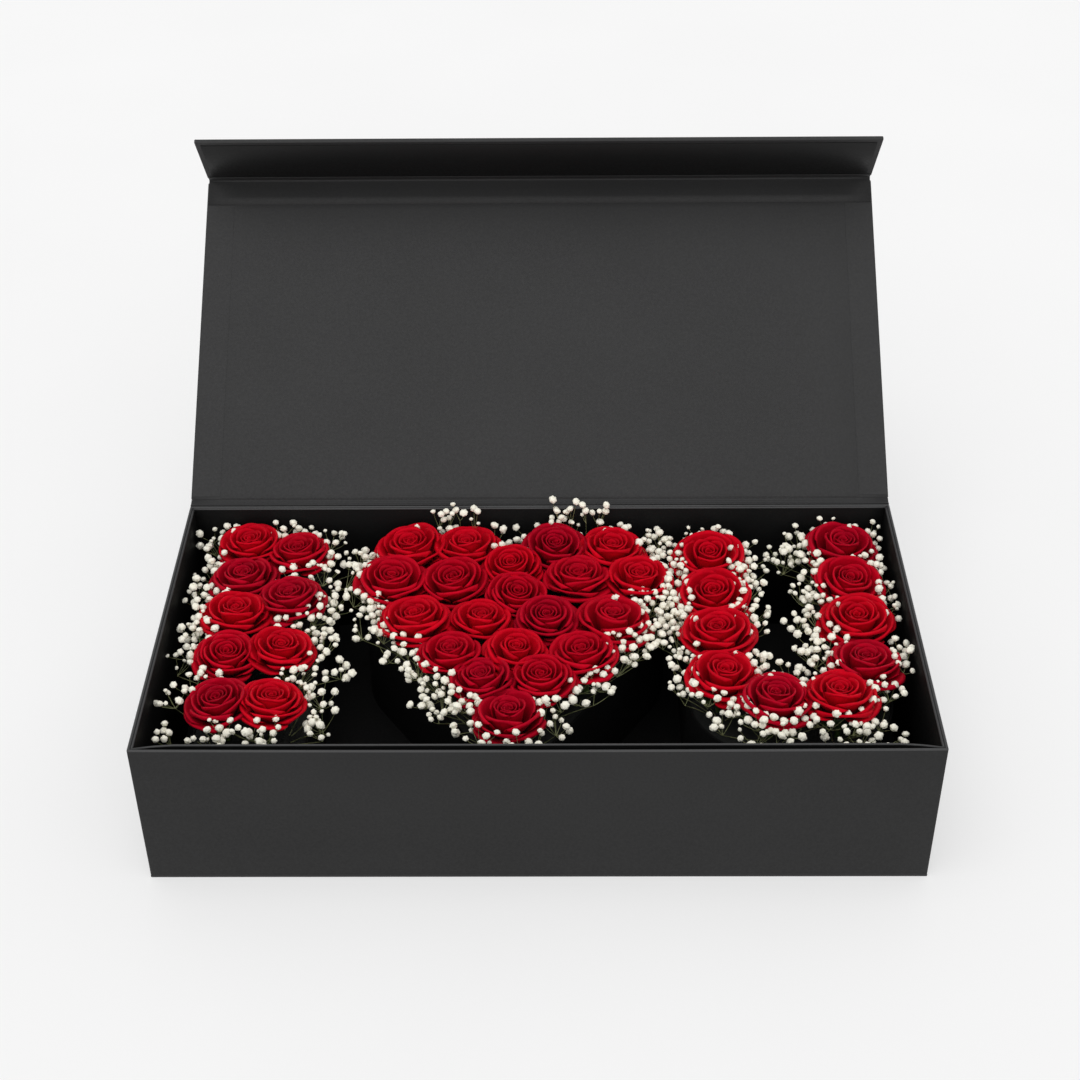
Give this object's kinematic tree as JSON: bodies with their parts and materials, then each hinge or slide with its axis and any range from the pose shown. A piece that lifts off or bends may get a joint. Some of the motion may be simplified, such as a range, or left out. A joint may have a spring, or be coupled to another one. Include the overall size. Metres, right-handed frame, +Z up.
{
  "type": "flower box",
  "caption": "Rigid black gift box with a book-style lid and folding flap, holding rose heads and baby's breath in bar, heart and U shaped planters.",
  "frame": {"origin": "centre of the box's underside, where it rests on a table", "axes": "+Z up, +X to the right along the box's length, +Y from the front flap's side to the lid's fold"},
  "size_m": [0.52, 0.4796, 0.3257],
  "materials": {
    "cover_paper": "matte",
    "lining_paper": "matte",
    "planter_card": "matte",
    "wet_foam": "matte",
    "petal": "satin",
    "blossom": "matte",
    "magnet": "satin",
    "steel_plate": "satin"
  },
  "bodies": {
    "box": {"case_base": "cover_paper", "case_spine": "cover_paper", "tray_shell": "cover_paper", "inner_frame": "lining_paper", "catch_plates": "steel_plate", "bar_planter": "planter_card", "heart_planter": "planter_card", "u_planter": "planter_card", "bar_foam": "wet_foam", "heart_foam": "wet_foam", "u_foam": "wet_foam", "bar_sprigs": "blossom", "heart_sprigs": "blossom", "u_sprigs": "blossom", "bar_rose_1": "petal", "bar_rose_2": "petal", "bar_rose_3": "petal", "bar_rose_4": "petal", "bar_rose_5": "petal", "bar_rose_6": "petal", "bar_rose_7": "petal", "bar_rose_8": "petal", "bar_rose_9": "petal", "heart_rose_1": "petal", "heart_rose_2": "petal", "heart_rose_3": "petal", "heart_rose_4": "petal", "heart_rose_5": "petal", "heart_rose_6": "petal", "heart_rose_7": "petal", "heart_rose_8": "petal", "heart_rose_9": "petal", "heart_rose_10": "petal", "heart_rose_11": "petal", "heart_rose_12": "petal", "heart_rose_13": "petal", "heart_rose_14": "petal", "heart_rose_15": "petal", "heart_rose_16": "petal", "heart_rose_17": "petal", "heart_rose_18": "petal", "heart_rose_19": "petal", "heart_rose_20": "petal", "u_rose_1": "petal", "u_rose_2": "petal", "u_rose_3": "petal", "u_rose_4": "petal", "u_rose_5": "petal", "u_rose_6": "petal", "u_rose_7": "petal", "u_rose_8": "petal", "u_rose_9": "petal", "u_rose_10": "petal"},
    "lid": {"lid_board": "cover_paper", "lid_lining": "lining_paper", "lid_hinge": "cover_paper", "flap_hinge": "cover_paper"},
    "flap": {"flap_board": "cover_paper", "flap_lining": "lining_paper", "flap_magnets": "magnet"}
  },
  "joints": [
    {"name": "lid_swing", "type": "hinge", "parent": "box", "child": "lid", "pos_m": [0, 0.1323, 0.1173], "axis": [-1, 0, 0], "range_deg": [-143.5, 56.5]},
    {"name": "flap_fold", "type": "hinge", "parent": "lid", "child": "flap", "pos_m": [0, 0.34597, 0.2754], "axis": [-1, 0, 0], "range_deg": [0, 90]}
  ]
}
